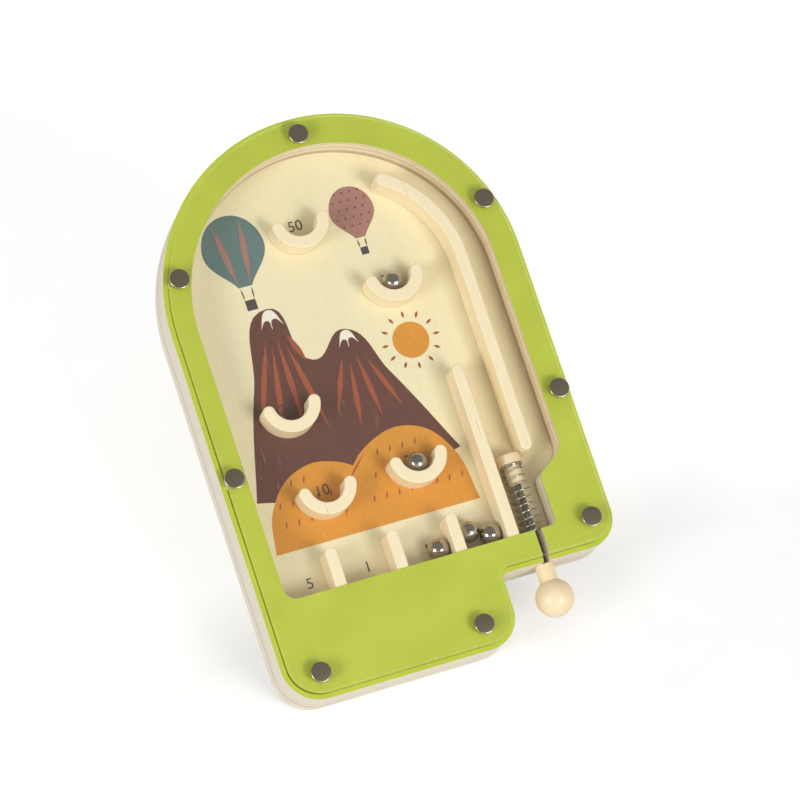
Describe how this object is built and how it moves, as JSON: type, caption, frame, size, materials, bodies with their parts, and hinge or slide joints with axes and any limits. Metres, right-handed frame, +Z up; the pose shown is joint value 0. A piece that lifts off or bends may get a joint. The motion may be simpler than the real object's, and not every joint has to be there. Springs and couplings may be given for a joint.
{
  "type": "tabletop pinball game",
  "caption": "Wooden hand pinball board with an arched top, clear cover, cups, rails, steel balls and a spring plunger, leaning on a folding leg.",
  "frame": {"origin": "on the table top, in the middle of the floor that the game covers, from the cover's lower edge to the leg's foot", "axes": "+Z up from the table, +X to the player's right, +Y away from the player, towards the raised end"},
  "size_m": [0.166, 0.258, 0.1593],
  "materials": {
    "playfield_ply": "printed birch plywood, satin varnish",
    "back_ply": "birch plywood, sanded",
    "green_ply": "birch plywood, top face painted green, sawn sides bare",
    "clear_sheet": "clear, polished",
    "post_metal": "dark nickel, satin",
    "screw_steel": "plated",
    "pale_wood": "sanded, clear satin varnish",
    "turned_wood": "turned, clear satin varnish",
    "stand_wood": "birch plywood, sanded",
    "ball_steel": "polished",
    "rod_steel": "drawn, bright",
    "spring_wire": "drawn wire, bright"
  },
  "bodies": {
    "board": {"back_board": "back_ply", "back_screws": "screw_steel", "clear_cover": "clear_sheet", "cover_posts": "post_metal", "cup_1": "pale_wood", "cup_2": "pale_wood", "cup_3": "pale_wood", "cup_4": "pale_wood", "cup_5": "pale_wood", "curved_rail": "pale_wood", "divider_1": "pale_wood", "divider_2": "pale_wood", "divider_3": "pale_wood", "frame": "green_ply", "playfield_board": "playfield_ply", "plunger_spring": "spring_wire", "stand_block_left": "stand_wood", "stand_block_right": "stand_wood", "stand_hinge_pin": "rod_steel", "straight_rail": "pale_wood"},
    "plunger": {"striker": "turned_wood", "plunger_rod": "rod_steel", "plunger_knob": "turned_wood"},
    "stand": {"stand_leg": "stand_wood"},
    "ball_1": {"ball_1": "ball_steel"},
    "ball_2": {"ball_2": "ball_steel"},
    "ball_3": {"ball_3": "ball_steel"},
    "ball_4": {"ball_4": "ball_steel"},
    "ball_5": {"ball_5": "ball_steel"}
  },
  "joints": [
    {"name": "plunger_pull", "type": "slide", "parent": "board", "child": "plunger", "axis": [0, -0.848, -0.5299], "range_m": [0, 0.018], "stiffness_N_per_m": 180, "springref_m": -0.008, "deforming": ["plunger_spring"]},
    {"name": "stand_fold", "type": "hinge", "parent": "board", "child": "stand", "pos_m": [0, 0.06052, 0.10233], "axis": [-1, 0, 0], "range_deg": [0, 90]},
    {"name": "ball_1_roll", "type": "slide", "parent": "board", "child": "ball_1", "axis": [0, 0.848, 0.5299], "range_m": [0, 0.04]},
    {"name": "ball_2_roll", "type": "slide", "parent": "board", "child": "ball_2", "axis": [0, 0.848, 0.5299], "range_m": [0, 0.07]},
    {"name": "ball_3_roll", "type": "slide", "parent": "board", "child": "ball_3", "axis": [0, 0.848, 0.5299], "range_m": [0, 0.022]},
    {"name": "ball_4_roll", "type": "slide", "parent": "board", "child": "ball_4", "axis": [0, 0.848, 0.5299], "range_m": [0, 0.022]},
    {"name": "ball_5_roll", "type": "slide", "parent": "board", "child": "ball_5", "axis": [0, 0.848, 0.5299], "range_m": [0, 0.022]}
  ],
  "couplings": [
    {"joint": "ball_4_roll", "follows": "ball_5_roll", "ratio": 1}
  ]
}
